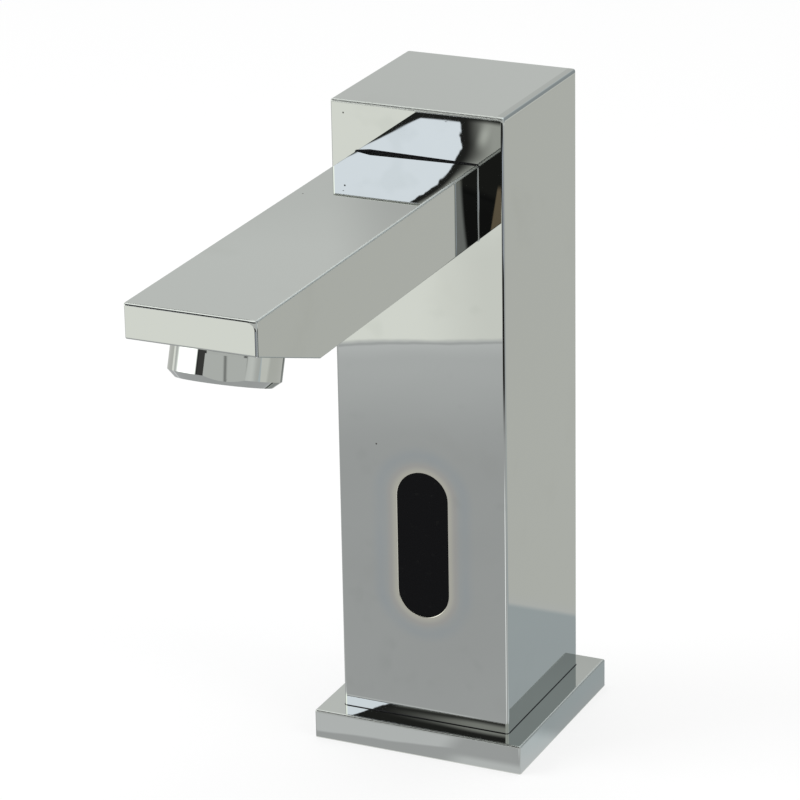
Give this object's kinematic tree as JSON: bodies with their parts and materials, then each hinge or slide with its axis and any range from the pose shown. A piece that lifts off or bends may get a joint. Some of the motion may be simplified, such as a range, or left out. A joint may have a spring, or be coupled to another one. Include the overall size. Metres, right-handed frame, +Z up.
{
  "type": "sensor tap",
  "caption": "Hands-free basin tap: square column on a square base plate, straight square spout with a slanted tip and tilted aerator, black infrared window in the column's front.",
  "frame": {"origin": "centre of the base plate's underside, where the tap stands on the deck", "axes": "+Z up along the column, -Y out along the spout towards the user, +X to the right seen from the front"},
  "size_m": [0.06, 0.1785, 0.178],
  "materials": {
    "polished_chrome": "polished mirror chrome plating",
    "cast_brass": "turned brass",
    "stainless": "stainless steel",
    "zinc_steel": "zinc plated steel",
    "copper_tube": "drawn copper",
    "black_window": "polished infrared-pass acrylic",
    "black_plastic": "moulded plastic",
    "grey_plastic": "moulded plastic",
    "white_plastic": "moulded acetal",
    "black_rubber": "moulded rubber",
    "board_green": "glass epoxy with solder resist",
    "clear_epoxy": "tinted epoxy",
    "magnet_grey": "sintered magnet"
  },
  "bodies": {
    "tap": {"column_body": "polished_chrome", "base_plate": "polished_chrome", "deck_gasket": "black_rubber", "foot_screws": "zinc_steel", "bridge_plate": "cast_brass", "cable_grommet": "black_rubber", "inlet_fitting": "cast_brass", "inlet_filter": "stainless", "check_spring": "stainless", "check_guide": "white_plastic", "riser_tube": "copper_tube", "tube_seals": "black_rubber", "carrier_plate": "stainless", "carrier_screws": "zinc_steel", "sensor_lens": "black_window", "window_gasket": "black_rubber", "sensor_case": "black_plastic", "sensor_screws": "zinc_steel", "sensor_board": "board_green", "board_parts": "black_plastic", "infrared_emitter": "clear_epoxy", "infrared_receiver": "clear_epoxy", "valve_body": "white_plastic", "diaphragm": "black_rubber", "valve_bonnet": "grey_plastic", "bonnet_screws": "zinc_steel", "core_tube": "stainless", "plunger_spring": "stainless", "fixed_core": "stainless", "latch_magnet": "magnet_grey", "solenoid_coil": "black_plastic", "coil_yoke": "zinc_steel", "coil_clip": "stainless", "coil_lead": "black_plastic", "spout_shell": "polished_chrome", "aerator_socket": "cast_brass", "outlet_tube": "copper_tube"},
    "check_valve": {"check_poppet": "white_plastic"},
    "solenoid_plunger": {"plunger": "stainless", "plunger_pad": "black_rubber"},
    "main_disc": {"diaphragm_disc": "white_plastic"},
    "aerator_cartridge": {"aerator_insert": "grey_plastic", "aerator_diffuser": "white_plastic", "aerator_screen": "stainless", "aerator_seal": "black_rubber"},
    "aerator_housing": {"aerator_collar": "polished_chrome"}
  },
  "joints": [
    {"name": "check_lift", "type": "slide", "parent": "tap", "child": "check_valve", "axis": [0, 0, 1], "range_m": [0, 0.002], "stiffness_N_per_m": 150, "springref_m": -0.005, "deforming": ["check_spring"]},
    {"name": "plunger_lift", "type": "slide", "parent": "tap", "child": "solenoid_plunger", "axis": [0, -1, 0], "range_m": [0, 0.003], "stiffness_N_per_m": 250, "springref_m": -0.004, "deforming": ["plunger_spring"]},
    {"name": "disc_lift", "type": "slide", "parent": "tap", "child": "main_disc", "axis": [0, -1, 0], "range_m": [0, 0.0018]},
    {"name": "aerator_drop", "type": "slide", "parent": "tap", "child": "aerator_cartridge", "axis": [0, -0.3304, -0.9438], "range_m": [0, 0.0045]},
    {"name": "aerator_turn", "type": "hinge", "parent": "aerator_cartridge", "child": "aerator_housing", "pos_m": [0, -0.13033, 0.14994], "axis": [0, -0.3304, -0.9438], "range_deg": [0, 1620]}
  ],
  "couplings": [
    {"joint": "disc_lift", "follows": "plunger_lift", "ratio": 0.6},
    {"joint": "aerator_drop", "follows": "aerator_turn", "m_per_rad": 0.00015915}
  ]
}
